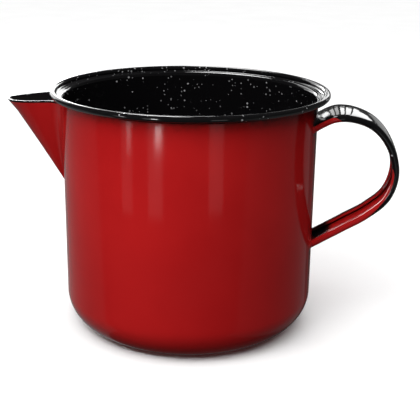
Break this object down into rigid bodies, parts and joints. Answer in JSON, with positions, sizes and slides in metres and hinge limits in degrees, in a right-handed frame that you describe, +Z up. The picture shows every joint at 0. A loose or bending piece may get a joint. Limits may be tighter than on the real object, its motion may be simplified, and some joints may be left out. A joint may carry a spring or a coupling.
{
  "type": "candle melting pot",
  "caption": "Round enamelled steel pot for melting and pouring wax, with a rolled rim, a beak spout and a strap handle.",
  "frame": {"origin": "centre of the flat base, on the surface that the pot stands on", "axes": "+Z up along the vessel's axis, +X towards the handle, -X towards the spout, Y across"},
  "size_m": [0.2189, 0.153, 0.134],
  "materials": {
    "enamel_red": "gloss",
    "enamel_black": "gloss"
  },
  "bodies": {
    "root": {"pot_body": "enamel_red", "spout": "enamel_red", "spout_weld": "enamel_red", "handle": "enamel_black", "handle_weld_upper": "enamel_black", "handle_weld_lower": "enamel_red"}
  },
  "joints": []
}
